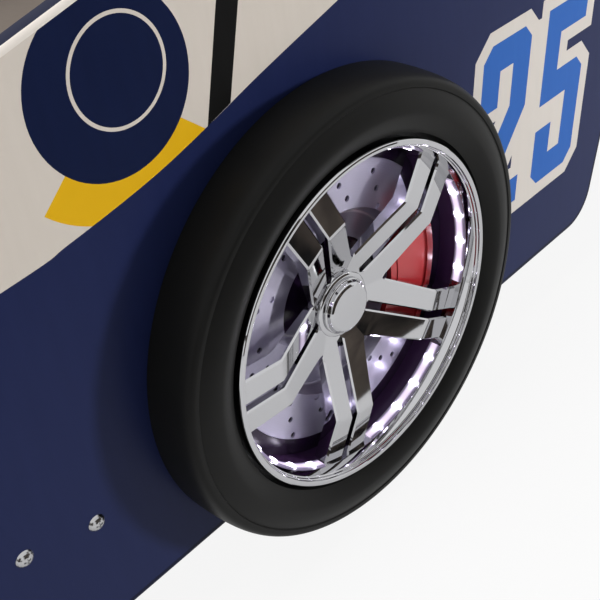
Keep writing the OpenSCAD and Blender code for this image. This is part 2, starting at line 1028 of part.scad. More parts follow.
// Switch of the wheel lights, on the inside of the left panel near the headboard
switch_size = [70, 22, 46];
switch_inset = 60;
switch_rise = 190;
rocker_size = [20, 27];
rocker_gap = 0.6;
rocker_front = 6;
rocker_dip = 2.2;
rocker_back = 5;
rocker_keel_share = 0.4;
rocker_tilt = 8;
pivot_depth = 4;
pivot_r = 1.6;
pivot_length = 3;
pocket_depth = 14;
pocket_margin = 1.3;
running_fit = 0.06;
switch_x = bay_rear_x - switch_inset;
switch_z = base_height + switch_rise;
pivot_y = -inner_y + switch_size[1] - pivot_depth;

module pivot(r, extra) {
    reach = rocker_size[0] / 2 + rocker_gap + pivot_length + extra;
    rotate([0, 90, 0])
        translate([0, 0, -reach])
            cylinder(r = r, h = 2 * reach, $fn = 32);
}

module switch_box() {
    pocket_x = rocker_size[0] + 2 * rocker_gap;
    pocket_z = rocker_size[1] + 2 * pocket_margin;
    color("#2a2b2e")
        difference() {
            translate([switch_x - switch_size[0] / 2, -inner_y, switch_z - switch_size[2] / 2])
                cube(switch_size);
            translate([
                switch_x - pocket_x / 2, -inner_y + switch_size[1] - pocket_depth,
                switch_z - pocket_z / 2
            ])
                cube([pocket_x, pocket_depth + over, pocket_z]);
            translate([switch_x, pivot_y, switch_z])
                pivot(pivot_r + running_fit, play);
        }
}

// Rocker, with its lower end pressed, as it stands when the lights are on
module switch_rocker() {
    half = rocker_size[1] / 2;
    color("#c8cbd0")
        translate([switch_x, pivot_y, switch_z])
            rotate([-rocker_tilt, 0, 0]) {
                translate([-rocker_size[0] / 2, 0, 0])
                    rotate([90, 0, 90])
                        linear_extrude(rocker_size[0])
                            polygon([
                                [rocker_front, -half], [rocker_front - rocker_dip, 0],
                                [rocker_front, half], [0, half],
                                [-rocker_back, half * rocker_keel_share],
                                [-rocker_back, -half * rocker_keel_share], [0, -half]
                            ]);
                pivot(pivot_r, 0);
            }
}

// Each piece of the four wheels at its own axle and side
module wheel_dish_rear_left() {
    at_wheel(rear_axle_x, -1)
        wheel_dish();
}

module tyre_rear_left() {
    at_wheel(rear_axle_x, -1)
        tyre();
}

module rim_rear_left() {
    at_wheel(rear_axle_x, -1)
        rim();
}

module hub_cap_rear_left() {
    at_wheel(rear_axle_x, -1)
        hub_cap();
}

module brake_disc_rear_left() {
    at_wheel(rear_axle_x, -1)
        brake_disc();
}

module calliper_rear_left() {
    at_wheel(rear_axle_x, -1)
        calliper();
}

module light_strip_rear_left() {
    at_wheel(rear_axle_x, -1)
        light_strip();
}

module wheel_dish_rear_right() {
    at_wheel(rear_axle_x, 1)
        wheel_dish();
}

module tyre_rear_right() {
    at_wheel(rear_axle_x, 1)
        tyre();
}

module rim_rear_right() {
    at_wheel(rear_axle_x, 1)
        rim();
}

module hub_cap_rear_right() {
    at_wheel(rear_axle_x, 1)
        hub_cap();
}

module brake_disc_rear_right() {
    at_wheel(rear_axle_x, 1)
        brake_disc();
}

module calliper_rear_right() {
    at_wheel(rear_axle_x, 1)
        calliper();
}

module light_strip_rear_right() {
    at_wheel(rear_axle_x, 1)
        light_strip();
}

module wheel_dish_front_left() {
    at_wheel(front_axle_x, -1)
        wheel_dish();
}

module tyre_front_left() {
    at_wheel(front_axle_x, -1)
        tyre();
}

module rim_front_left() {
    at_wheel(front_axle_x, -1)
        rim();
}

module hub_cap_front_left() {
    at_wheel(front_axle_x, -1)
        hub_cap();
}

module brake_disc_front_left() {
    at_wheel(front_axle_x, -1)
        brake_disc();
}

module calliper_front_left() {
    at_wheel(front_axle_x, -1)
        calliper();
}

module light_strip_front_left() {
    at_wheel(front_axle_x, -1)
        light_strip();
}

module wheel_dish_front_right() {
    at_wheel(front_axle_x, 1)
        wheel_dish();
}

module tyre_front_right() {
    at_wheel(front_axle_x, 1)
        tyre();
}

module rim_front_right() {
    at_wheel(front_axle_x, 1)
        rim();
}

module hub_cap_front_right() {
    at_wheel(front_axle_x, 1)
        hub_cap();
}

module brake_disc_front_right() {
    at_wheel(front_axle_x, 1)
        brake_disc();
}

module calliper_front_right() {
    at_wheel(front_axle_x, 1)
        calliper();
}

module light_strip_front_right() {
    at_wheel(front_axle_x, 1)
        light_strip();
}

side_panel_left();
side_panel_right();
front_panel();
bonnet_board();
footboard();
headboard();
boot_board();
rear_panel();
base_rail_left();
base_rail_right();
cross_rail_foot_end();
cross_rail_front();
cross_rail_rear();
cross_rail_head_end();
base_board_front();
base_board_middle();
base_board_rear();
foot_front_left();
foot_front_right();
foot_rear_left();
foot_rear_right();
foot_centre_front();
foot_centre_rear();
panel_bolts();
rail_nuts();
wheel_screws();
corner_brackets();
frame_screws();
power_box();
switch_box();
switch_rocker();
wheel_dish_rear_left();
tyre_rear_left();
rim_rear_left();
hub_cap_rear_left();
brake_disc_rear_left();
calliper_rear_left();
light_strip_rear_left();
wheel_dish_rear_right();
tyre_rear_right();
rim_rear_right();
hub_cap_rear_right();
brake_disc_rear_right();
calliper_rear_right();
light_strip_rear_right();
wheel_dish_front_left();
tyre_front_left();
rim_front_left();
hub_cap_front_left();
brake_disc_front_left();
calliper_front_left();
light_strip_front_left();
wheel_dish_front_right();
tyre_front_right();
rim_front_right();
hub_cap_front_right();
brake_disc_front_right();
calliper_front_right();
light_strip_front_right();
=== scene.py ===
import math

import bpy
import numpy as np
from mathutils import Matrix, Vector
from mathutils.geometry import delaunay_2d_cdt


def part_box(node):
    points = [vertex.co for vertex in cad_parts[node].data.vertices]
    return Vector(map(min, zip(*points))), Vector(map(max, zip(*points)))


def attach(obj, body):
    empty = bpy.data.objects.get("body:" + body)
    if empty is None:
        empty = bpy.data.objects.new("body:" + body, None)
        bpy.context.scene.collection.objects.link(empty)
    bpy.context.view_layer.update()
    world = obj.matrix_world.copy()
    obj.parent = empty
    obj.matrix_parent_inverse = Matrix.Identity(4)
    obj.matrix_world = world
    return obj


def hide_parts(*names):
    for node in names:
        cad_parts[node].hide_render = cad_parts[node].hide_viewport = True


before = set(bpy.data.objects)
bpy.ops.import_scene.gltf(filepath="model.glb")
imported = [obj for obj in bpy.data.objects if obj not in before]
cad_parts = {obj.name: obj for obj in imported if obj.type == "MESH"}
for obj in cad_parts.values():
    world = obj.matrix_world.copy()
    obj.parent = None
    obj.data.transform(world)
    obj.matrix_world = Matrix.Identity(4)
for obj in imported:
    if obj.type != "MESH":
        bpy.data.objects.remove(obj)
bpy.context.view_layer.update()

# Places and sizes taken from the frame, in millimetres. All sizes in this file are millimetres, but for
# the floor, the lamps and the cloths, which are in metres.
MM = 0.001
tyre_low, tyre_high = (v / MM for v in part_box("tyre_rear_left"))
front_low, front_high = (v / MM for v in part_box("tyre_front_left"))
panel_low, panel_high = (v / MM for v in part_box("side_panel_left"))
REAR_X = (tyre_low.x + tyre_high.x) / 2
FRONT_X = (front_low.x + front_high.x) / 2
AXLE_Z = (tyre_low.z + tyre_high.z) / 2
FACE_Y = panel_low.y
BOARD = panel_high.y - panel_low.y
TYRE_R = (tyre_high.x - tyre_low.x) / 2
# Name of each wheel, its axle, and its side: 1 is the left of the bed, -1 its right
WHEELS = [
    ("rear_left", REAR_X, 1), ("rear_right", REAR_X, -1),
    ("front_left", FRONT_X, 1), ("front_right", FRONT_X, -1),
]
# Angle from one spoke to the next, and the angles of the five
SPOKE_PITCH = 72
SPOKE_ANGLES = [39 - SPOKE_PITCH * k for k in range(5)]
# Points round the axle in each turned piece
TYRE_STEPS, BARREL_STEPS, HUB_STEPS, CAP_STEPS = 288, 256, 96, 128
# Slack when a face is told by its radius or depth
SLACK = 0.1


# Meshes
def smooth_by_angle(mesh, degrees):
    """Shades a mesh smooth, but for edges whose faces meet at more than the angle."""
    mesh.polygons.foreach_set("use_smooth", np.ones(len(mesh.polygons), bool))
    mesh.set_sharp_from_angle(angle=math.radians(degrees))


def make_piece(name, points, faces, materials, face_materials=None, *, angle, body="bed"):
    """A piece of the object from points in millimetres and faces, riding on a body. It is smooth but
    for edges sharper than the angle."""
    mesh = bpy.data.meshes.new(name)
    mesh.from_pydata((np.asarray(points, float) * MM).tolist(), [], faces)
    for material in materials:
        mesh.materials.append(material)
    if face_materials is not None:
        mesh.polygons.foreach_set("material_index", np.asarray(face_materials, np.int32))
    mesh.update()
    smooth_by_angle(mesh, angle)
    piece = bpy.data.objects.new(name, mesh)
    bpy.context.scene.collection.objects.link(piece)
    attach(piece, body)
    return piece


def grid_faces(rows, columns, wrap_rows=False, wrap_columns=False):
    """Quads of a grid of rows x columns points, joined end to start where it wraps."""
    i = np.arange(rows if wrap_rows else rows - 1)[:, None]
    j = np.arange(columns if wrap_columns else columns - 1)[None, :]
    i2, j2 = (i + 1) % rows, (j + 1) % columns
    quads = np.stack([i * columns + j, i * columns + j2, i2 * columns + j2, i2 * columns + j], -1)
    return quads.reshape(-1, 4)


def revolve(profile, steps):
    """Turns a closed profile of (radius, depth) about the axle: each point goes round its own circle.
    The profile runs with its solid on the left, radius to the right and depth up."""
    profile = np.asarray(profile, float)
    turn = np.linspace(0, 2 * math.pi, steps, endpoint=False)[:, None]
    radius, depth = profile[None, :, 0], profile[None, :, 1]
    points = np.stack([radius * np.cos(turn), radius * np.sin(turn), depth + 0 * turn], -1)
    return points.reshape(-1, 3), grid_faces(steps, len(profile), True, True)


def at_wheel(points, faces, axle_x, side):
    """Moves wheel points (right, up, outward) to an axle and a side of the bed. The right side is the
    left's mirror image, so its faces turn round."""
    placed = np.stack([
        axle_x + points[:, 0], side * (FACE_Y - points[:, 2]), AXLE_Z + points[:, 1]
    ], -1)
    return placed, (faces if side > 0 else faces[:, ::-1]).tolist()


def join(parts):
    """One array of points and one of faces from several."""
    points, faces, start = [], [], 0
    for p, f in parts:
        points.append(p)
        faces.append(f + start)
        start += len(p)
    return np.concatenate(points), np.concatenate(faces)


def rounded_profile(corners, steps=5):
    """A profile through corners (radius, depth, rounding): each rounding is a quadratic curve that
    leaves one side and joins the next at that distance from the corner, or halfway to the next corner
    where that is nearer."""
    corners = np.asarray(corners, float)
    out = []
    for k, (x, y, r) in enumerate(corners):
        here = np.array([x, y])
        if r == 0:
            out.append(here)
            continue
        before, after = corners[k - 1][:2] - here, corners[(k + 1) % len(corners)][:2] - here
        a = here + before / np.linalg.norm(before) * min(r, np.linalg.norm(before) / 2)
        b = here + after / np.linalg.norm(after) * min(r, np.linalg.norm(after) / 2)
        for t in np.linspace(0, 1, steps):
            out.append((1 - t) ** 2 * a + 2 * t * (1 - t) * here + t * t * b)
    return np.array(out)


# Shader nodes
def linear(code):
    """Linear colour of an sRGB hex code, opaque. A channel is divided by 12.92 where it is dark, and
    elsewhere it has 0.055 added, is scaled back to 1 and raised to the power 2.4."""
    rgb = np.array([int(code[k:k + 2], 16) for k in (1, 3, 5)]) / 255
    rgb = np.where(rgb <= 0.04045, rgb / 12.92, ((rgb + 0.055) / 1.055) ** 2.4)
    return (*rgb.tolist(), 1.0)


def new_material(name, base, roughness, metallic=0.0):
    """A material with its surface shader set to one finish."""
    material = bpy.data.materials.new(name)
    material.use_nodes = True
    shader = material.node_tree.nodes["Principled BSDF"]
    shader.inputs["Base Color"].default_value = linear(base)
    shader.inputs["Roughness"].default_value = roughness
    shader.inputs["Metallic"].default_value = metallic
    return material, shader


def add(material, kind, inputs=(), **settings):
    """Adds a node with its settings. An input is a value, or a socket that is linked to it."""
    tree = material.node_tree
    node = tree.nodes.new(kind)
    for key, value in settings.items():
        setattr(node, key, value)
    for key, value in dict(inputs).items():
        if isinstance(value, bpy.types.NodeSocket):
            tree.links.new(value, node.inputs[key])
        else:
            node.inputs[key].default_value = value
    return node


def drive(material, socket, source):
    """Links a socket of the shader to what feeds it."""
    material.node_tree.links.new(source, socket)


def calc(material, operation, first, second=0.0):
    """One step of arithmetic on numbers or sockets: the socket of its result."""
    return add(material, "ShaderNodeMath", {0: first, 1: second}, operation=operation).outputs[0]


def blend(material, share, first, second):
    """Two colours mixed by a share: the socket of the result."""
    mix = add(material, "ShaderNodeMix", {"Factor": share, "A": first, "B": second}, data_type="RGBA")
    return mix.outputs[2]


def from_axle(material, axle_x, scale=(1, 1, 1)):
    """Place measured from an axle, each coordinate times its scale."""
    place = add(material, "ShaderNodeTexCoord")
    return add(material, "ShaderNodeMapping", {
        "Vector": place.outputs["Object"], "Location": (-axle_x * MM, 0, -AXLE_Z * MM), "Scale": scale
    }).outputs["Vector"]


def mottle(material, shader, base, other, size_mm, stretch=(1, 1, 1), contrast=1.0):
    """Lets the colour wander between two tones in patches of a real size: noise, spread about its
    middle by the contrast, mixes them. A direction with a small stretch has long patches."""
    place = add(material, "ShaderNodeTexCoord")
    scaled = add(material, "ShaderNodeMapping", {"Vector": place.outputs["Object"], "Scale": stretch})
    noise = add(material, "ShaderNodeTexNoise", {
        "Vector": scaled.outputs["Vector"], "Scale": 1 / (size_mm * MM), "Detail": 4.0, "Roughness": 0.6
    })
    share = add(material, "ShaderNodeMapRange", {
        "Value": noise.outputs["Fac"], "From Min": 0.5 - 0.5 / contrast, "From Max": 0.5 + 0.5 / contrast
    })
    tone = blend(material, share.outputs["Result"], linear(base), linear(other))
    drive(material, shader.inputs["Base Color"], tone)
    return place


def grain(material, shader, place, size_mm, depth_mm, stretch=(1, 1, 1)):
    """Raises a fine grain of a real size and depth on the surface: noise as a height."""
    scaled = add(material, "ShaderNodeMapping", {"Vector": place.outputs["Object"], "Scale": stretch})
    noise = add(material, "ShaderNodeTexNoise", {
        "Vector": scaled.outputs["Vector"], "Scale": 1 / (size_mm * MM), "Detail": 3.0
    })
    bump = add(material, "ShaderNodeBump", {
        "Height": noise.outputs["Fac"], "Distance": depth_mm * MM, "Strength": 1.0
    })
    drive(material, shader.inputs["Normal"], bump.outputs["Normal"])


# Finishes
def foil(name, base, other):
    """Printed foil pressed on fibreboard. What gives it to the eye is a satin film with very little
    gloss, over faint upright streaks from the press."""
    material, shader = new_material(name, base, roughness=0.36)
    shader.inputs["Specular IOR Level"].default_value = 0.1
    place = mottle(material, shader, base, other, size_mm=9, stretch=(1, 1, 0.12))
    grain(material, shader, place, size_mm=2.2, depth_mm=0.012, stretch=(1, 1, 0.1))
    return material


def plastic(name, base, other, roughness, depth_mm=0.02, gloss=0.5):
    """Moulded plastic. What gives it to the eye is its even colour and a fine spark-eroded grain, which
    is shallower the glossier the piece is."""
    material, shader = new_material(name, base, roughness)
    shader.inputs["Specular IOR Level"].default_value = gloss
    place = mottle(material, shader, base, other, size_mm=30)
    grain(material, shader, place, size_mm=1.2, depth_mm=depth_mm)
    return material


def timber(name, base, other, roughness):
    """Planed softwood. What gives it to the eye is grain that runs along the bed, its lines a few
    millimetres apart, darker in the late wood and a little raised."""
    material, shader = new_material(name, base, roughness)
    place = mottle(material, shader, base, other, size_mm=7, stretch=(0.05, 1, 1))
    grain(material, shader, place, size_mm=1.5, depth_mm=0.05, stretch=(0.04, 1, 1))
    return material


# The turned finish of a brake disc: how far apart its rings are and how deep, and the radius, the half
# width and the tone of a painted highlight, a bright ring where the disc steps down
RING_PITCH, RING_DEPTH = 0.5, 0.03
HIGHLIGHT_R, HIGHLIGHT_HALF, HIGHLIGHT_TONE = 75.5, 1.7, "#f6f3ff"


def brushed(name, base, other, axle_x, roughness):
    """Painted plastic with a turned finish. What gives it to the eye is fine rings about the axle, under
    a clear lacquer that mirrors the lamps. Noise along the radius makes the rings. The bright ring where the
    disc steps down is a painted highlight: its share of the colour falls from 1 on its own radius to 0 at
    its half width."""
    material, shader = new_material(name, base, roughness, metallic=0.55)
    shader.inputs["Coat Weight"].default_value = 0.8
    shader.inputs["Coat Roughness"].default_value = 0.03
    flat = from_axle(material, axle_x, scale=(1, 0, 1))
    radius = add(material, "ShaderNodeVectorMath", {0: flat}, operation="LENGTH").outputs["Value"]
    rings = add(material, "ShaderNodeTexNoise", {
        "W": radius, "Scale": 1 / (RING_PITCH * MM), "Detail": 2.0
    }, noise_dimensions="1D").outputs["Fac"]
    bump = add(material, "ShaderNodeBump", {
        "Height": rings, "Distance": RING_DEPTH * MM, "Strength": 0.6
    })
    drive(material, shader.inputs["Normal"], bump.outputs["Normal"])
    tone = blend(material, rings, linear(base), linear(other))
    # Painted highlight: a bright ring mixed into the colour where the disc steps down
    from_highlight = calc(material, "ABSOLUTE", calc(material, "SUBTRACT", radius, HIGHLIGHT_R * MM))
    highlight_share = add(material, "ShaderNodeMapRange", {
        "Value": from_highlight, "From Max": HIGHLIGHT_HALF * MM, "To Min": 1.0, "To Max": 0.0
    })
    tone = blend(material, highlight_share.outputs["Result"], tone, linear(HIGHLIGHT_TONE))
    drive(material, shader.inputs["Base Color"], tone)
    return material


# Size of the patches in a plating's gloss, and how much rougher they get
GLOSS_PATCH, GLOSS_SMEAR = 18, 0.02


def metal(name, base, roughness):
    """Bright plating. What gives it to the eye is what it mirrors, with a faint unevenness in its gloss
    from polishing: noise moves the roughness between two values."""
    material, shader = new_material(name, base, roughness, metallic=1.0)
    place = add(material, "ShaderNodeTexCoord")
    noise = add(material, "ShaderNodeTexNoise", {
        "Vector": place.outputs["Object"], "Scale": 1 / (GLOSS_PATCH * MM)
    })
    gloss = add(material, "ShaderNodeMapRange", {
        "Value": noise.outputs["Fac"], "To Min": roughness, "To Max": roughness + GLOSS_SMEAR
    })
    drive(material, shader.inputs["Roughness"], gloss.outputs["Result"])
    return material


# A light strip: its middle line and half width in depth, the angle of its first lamp and from one lamp
# to the next, how brightly the band, the halo of a lamp and the lamp itself glow, how steeply the glow of
# the last two falls off, and the share that is left at the strip's edges
STRIP_MIDDLE, STRIP_HALF = 23.0, 4.6
FIRST_LAMP, LAMP_PITCH = 57.75, 11.5
BAND_GLOW, HALO_GLOW, LAMP_GLOW = 1.15, 0.7, 24.0
HALO_POWER, LAMP_POWER = 2.0, 45.0
EDGE_GLOW = 0.06


def glowing(name, band, lamp, axle_x):
    """Milky strip lit from behind. What gives it to the eye is a band that glows along its middle line,
    with a bright spot at each lamp. Each spot's glow is a power of its nearness, which falls from 1 at
    the lamp to 0 halfway to the next. Past a third of the half width, all of it fades to the edges."""
    material, shader = new_material(name, "#8d7fa6", roughness=0.4)
    parts = add(material, "ShaderNodeSeparateXYZ", {"Vector": from_axle(material, axle_x)}).outputs

    def step(operation, first, second=0.0):
        return calc(material, operation, first, second)

    depth = step("SUBTRACT", step("ABSOLUTE", parts["Y"]), (abs(FACE_Y) + STRIP_MIDDLE) * MM)
    core = add(material, "ShaderNodeMapRange", {
        "Value": step("ABSOLUTE", depth), "From Min": STRIP_HALF * MM / 3, "From Max": STRIP_HALF * MM,
        "To Min": 1.0, "To Max": EDGE_GLOW
    }, interpolation_type="SMOOTHSTEP")
    angle = step("SUBTRACT", step("ARCTAN2", parts["Z"], parts["X"]), math.radians(FIRST_LAMP))
    angle = step("ADD", angle, math.radians(LAMP_PITCH / 2))
    window = step("FLOORED_MODULO", angle, math.radians(SPOKE_PITCH))
    share = step("FRACT", step("DIVIDE", window, math.radians(LAMP_PITCH)))
    near = add(material, "ShaderNodeMapRange", {
        "Value": step("ABSOLUTE", step("SUBTRACT", share, 0.5)), "From Max": 0.5,
        "To Min": 1.0, "To Max": 0.0
    }, interpolation_type="SMOOTHERSTEP").outputs["Result"]
    halo = step("MULTIPLY", step("POWER", near, HALO_POWER), HALO_GLOW)
    spot = step("MULTIPLY", step("POWER", near, LAMP_POWER), LAMP_GLOW)
    level = step("ADD", step("ADD", halo, spot), BAND_GLOW)
    drive(material, shader.inputs["Emission Color"], blend(material, near, linear(band), linear(lamp)))
    drive(material, shader.inputs["Emission Strength"], step("MULTIPLY", level, core.outputs["Result"]))
    return material


# The boards: fibreboard with a foil, printed on the side panels and plain on the rest
navy = foil("navy foil", "#1a2247", "#1f274e")
deep_navy = foil("deep navy foil", "#0f1836", "#121c3e")
cream = foil("cream foil", "#cbc2b8", "#d2c9c0")
# The side panels' rounded edges: a darker navy that is painted shade, and a paler cream that is a painted
# highlight
edge_painted_shade = foil("navy edge foil with painted shade", "#0a102b", "#0d1431")
edge_painted_highlight = foil("cream edge foil with painted highlight", "#e2dad2", "#e8e0d8")
yellow = foil("yellow foil", "#daa80f", "#deae18")
stripe_black = foil("black foil", "#111111", "#161616")
number_blue = foil("blue foil", "#265cab", "#2c62b1")
number_edge = foil("white foil", "#cdc6bf", "#d3ccc5")
# The wheels: a satin tyre that isn't rubber, a glossy dark dish behind the disc and the unplated wall of the
# barrel, both black with a violet tint that is painted light from the strips, and mirror plating on the rim
# and the cap
tyre_black = plastic("satin black moulding", "#171717", "#1b1b1a", 0.42, gloss=0.1)
dish_painted_violet = plastic("gloss black moulding with painted violet light", "#1c0f24", "#22142c", 0.2, depth_mm=0.005, gloss=0.3)
barrel_wall_painted_violet = plastic("barrel moulding with painted violet light", "#3a2146", "#42284e", 0.25, depth_mm=0.005, gloss=0.3)
chrome = metal("chromium plating", "#c2c2c5", 0.03)
# The fasteners: nickel on the domed bolts that show, duller zinc on those that don't
bolt_nickel = metal("nickel plating", "#b9b9bb", 0.18)
zinc = metal("zinc plating", "#9a9ca0", 0.3)
calliper_red = plastic("red lacquered moulding", "#a82b30", "#b23236", 0.22, depth_mm=0.008)
lit_rear = glowing("lit diffuser, rear", "#e4d4ec", "#f3edff", REAR_X)
lit_front = glowing("lit diffuser, front", "#e4d4ec", "#f3edff", FRONT_X)
# The base and its fittings: pale softwood rails under foiled boards, and moulded housings and feet
pine = timber("planed pine", "#c39b67", "#b2854f", 0.5)
grey_brown = foil("grey-brown foil", "#81776e", "#8a8077")
housing = plastic("dark textured moulding", "#292a2d", "#303135", 0.5, depth_mm=0.05)
rocker_grey = plastic("grey moulding", "#b9bcc2", "#c2c5ca", 0.3)
foot_black = plastic("matt black moulding", "#151516", "#1b1b1c", 0.6)
# The discs' colour is their own pale metal tone, made lighter and violet by painted light from the strips
disc_rear = brushed("turned disc with painted violet light, rear", "#aaa5bd", "#bab5cb", REAR_X, 0.34)
disc_front = brushed("turned disc with painted violet light, front", "#aaa5bd", "#bab5cb", FRONT_X, 0.34)

# Finish of each CAD node, by its name or by how its name starts
FINISHES = {
    "front_panel": navy, "rear_panel": navy, "footboard": navy, "headboard": navy,
    "bonnet_board": cream, "boot_board": cream,
    "panel_bolts": bolt_nickel, "rail_nuts": zinc, "wheel_screws": zinc, "corner_brackets": zinc,
    "frame_screws": zinc, "power_box": housing, "switch_box": housing, "switch_rocker": rocker_grey,
    "base_rail": pine, "cross_rail": pine, "base_board": grey_brown, "foot_": foot_black,
    "wheel_dish": dish_painted_violet, "calliper": calliper_red,
    "brake_disc_rear": disc_rear, "brake_disc_front": disc_front,
    "light_strip_rear": lit_rear, "light_strip_front": lit_front,
    "hub_cap": chrome, "rim": chrome, "tyre": tyre_black, "side_panel": navy,
}
for node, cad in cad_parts.items():
    cad.data.materials.clear()
    cad.data.materials.append(next(finish for start, finish in FINISHES.items() if node.startswith(start)))


# Tyres. Reach of the turned-over tread inwards, height of the shoulder line, the bore, how far the
# sidewall bulges, and where its crest lies on the way from the shoulder line to the bore
TREAD_TURN, SHOULDER, TYRE_BORE, BULGE, CREST = 11.3, 41.5, 150.0, 4.2, 0.52
# Powers of the tread's curve in radius and in depth. How far the sidewall falls past its crest, in
# bulges, and the power of that fall
TURN_POWER, DEPTH_POWER, FALL, FALL_POWER = 0.55, 0.8, 1.7, 1.5
# Step from the shoulder line to the sidewall: inwards, and down
SHOULDER_IN, SHOULDER_DOWN = 0.7, 0.8
# Depths of the tyre's back, outside and at its bore, and of its hollow's end. Thickness at the bore
TYRE_BACK, BORE_BACK, HOLLOW_END, BORE_WALL = 0.2, 3, 30, 3
# How much smaller the hollow is than the tyre, at its end and at the back
HOLLOW_IN, BACK_IN = 8, 3


def tyre_profile(steps=28):
    """Closed profile of the tyre: a tread that leans in and turns over as a superellipse, so that radius
    and depth go by powers of a cosine and a sine; a fine step at the shoulder line; and a sidewall that
    rises as a parabola to its crest and falls from there by a power of the way to the rim."""
    line = TYRE_R - TREAD_TURN
    t = np.linspace(0, math.pi / 2, steps)
    turn = np.stack([
        line + (TYRE_R - line) * np.cos(t) ** TURN_POWER,
        TYRE_BACK + (SHOULDER - TYRE_BACK) * np.sin(t) ** DEPTH_POWER,
    ], -1)
    s = np.linspace(0, 1, steps)
    fall = FALL * (np.maximum(s - CREST, 0) / (1 - CREST)) ** FALL_POWER
    rise = np.where(s < CREST, 1 - (1 - s / CREST) ** 2, 1 - fall)
    top = line - SHOULDER_IN
    wall = np.stack([top - (top - TYRE_BORE) * s, SHOULDER - SHOULDER_DOWN + BULGE * rise], -1)
    hollow = [
        (TYRE_BORE, BORE_BACK), (TYRE_BORE + BORE_WALL, BORE_BACK), (TYRE_BORE + BORE_WALL, HOLLOW_END),
        (TYRE_R - HOLLOW_IN, HOLLOW_END), (TYRE_R - BACK_IN, TYRE_BACK),
    ]
    return np.concatenate([turn, wall, hollow])


# Rims. Bore of the barrel, and the depth from which it is plated: below that, the bare moulding shows
BARREL_R, PLATED_FROM = 137, 17.0
# Corners of the barrel as (radius, depth, rounding): its flange, its outside, its lip, two fine steps,
# and a smooth cone down to the bore
BARREL = [
    (BARREL_R, 0.2, 0), (152.5, 0.2, 0), (152.5, 2.8, 0), (143, 2.8, 0), (143, 22, 0), (146.2, 33, 0),
    (146.2, 41, 2.2), (141.2, 41, 1.6), (141.0, 38.6, 0.5), (140.1, 38.2, 0.4), (140.0, 36.3, 0.4),
    (139.1, 35.9, 0.4), (BARREL_R, 28.6, 0.6), (BARREL_R, PLATED_FROM, 0),
]
# Corners of the hub and its rounded rim, and of the cap: a thin flange, a wall that leans in, a chamfer
# and a flat face
HUB = [
    (0.1, 1.2, 0), (28.6, 1.2, 0), (28.6, 6.2, 1.2), (26, 7, 0.6), (21, 7, 0.3), (21, 3.2, 0), (0.1, 3.2, 0)
]
CAP = [
    (0.1, 7.2, 0), (24.5, 7.2, 0), (24.5, 9.0, 0.8), (23.2, 9.6, 0.4), (22.2, 12.8, 0.8),
    (19.8, 14.4, 0.5), (0.1, 14.4, 0),
]
# Radii along a spoke, closer at its ridge. Height of its face and its thickness at four radii, and half
# its width at four more
BAR_RADII = np.concatenate([np.linspace(24, 94.6, 26), [95.4], np.linspace(96.5, 140.5, 18)])
FACE_RADII, FACE_HEIGHTS, FACE_THICK = [24, 27.5, 95, 141], [5.0, 5.0, 31.0, 23.0], [3.5, 4.0, 13.0, 13.0]
WIDTH_RADII, HALF_WIDTHS = [24, 40, 92, 141], [26.5, 26.3, 23.4, 25.6]
# Radius where the slot starts, half its width, and the bevels along the slot and the outer edge
SLOT_FROM, SLOT_HALF, SLOT_BEVEL, OUTER_BEVEL = 30, 3.4, 1.3, 1.5


def bar(angle, side):
    """One of the two bars of a spoke: a band between two edges, carried outwards from the hub. Its face
    climbs to a ridge and falls again to the rim. A row of points has a constant radius, so the ridge is
    an arc. Near the hub, the outer edge stops at the line halfway to the next spoke."""
    slotted = BAR_RADII >= SLOT_FROM
    slot = np.where(slotted, SLOT_HALF, 0.0)
    outer = np.interp(BAR_RADII, WIDTH_RADII, HALF_WIDTHS)
    halfway = BAR_RADII * math.sin(math.radians(SPOKE_PITCH / 2))
    bevel_in = np.where(slotted, SLOT_BEVEL, 0.0)
    bevel_out = np.where(halfway < outer, 0.0, OUTER_BEVEL)
    outer = np.minimum(outer, halfway)
    face = np.interp(BAR_RADII, FACE_RADII, FACE_HEIGHTS)
    back = face - np.interp(BAR_RADII, FACE_RADII, FACE_THICK)
    across = np.stack([slot, slot, slot + bevel_in, outer - bevel_out, outer, outer], -1)
    height = np.stack([back, face - bevel_in, face, face, face - bevel_out, back], -1)
    along = np.sqrt(np.maximum(BAR_RADII[:, None] ** 2 - across ** 2, 0))
    across = across * side
    a = math.radians(angle)
    points = np.stack([
        along * math.cos(a) - across * math.sin(a), along * math.sin(a) + across * math.cos(a), height
    ], -1)
    faces = grid_faces(*across.shape, False, True)
    return points.reshape(-1, 3), faces if side > 0 else faces[:, ::-1]


def rim_parts():
    """Barrel as one revolve, the hub as another, and ten bars. Also says which faces are bare: those of
    the barrel's wall below the lights."""
    turned = [revolve(rounded_profile(BARREL), BARREL_STEPS), revolve(rounded_profile(HUB), HUB_STEPS)]
    bars = [bar(angle, side) for angle in SPOKE_ANGLES for side in (1, -1)]
    points, faces = join(turned + bars)
    radius, height = np.hypot(points[:, 0], points[:, 1])[faces], points[:, 2][faces]
    on_wall = (np.abs(radius - BARREL_R) < SLACK).all(-1)
    return points, faces, (on_wall & (height.max(-1) < PLATED_FROM + SLACK)).astype(int)


for wheel, axle_x, side in WHEELS:
    points, faces = at_wheel(*revolve(tyre_profile(), TYRE_STEPS), axle_x, side)
    tyre = make_piece("tyre_moulding_" + wheel, points, faces, [tyre_black], angle=50)
    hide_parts("tyre_" + wheel)
    points, faces, bare = rim_parts()
    points, faces = at_wheel(points, faces, axle_x, side)
    rim = make_piece("plated_rim_" + wheel, points, faces, [chrome, barrel_wall_painted_violet], bare, angle=18)
    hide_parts("rim_" + wheel)
    points, faces = at_wheel(*revolve(rounded_profile(CAP), CAP_STEPS), axle_x, side)
    cap = make_piece("plated_cap_" + wheel, points, faces, [chrome], angle=18)
    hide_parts("hub_cap_" + wheel)


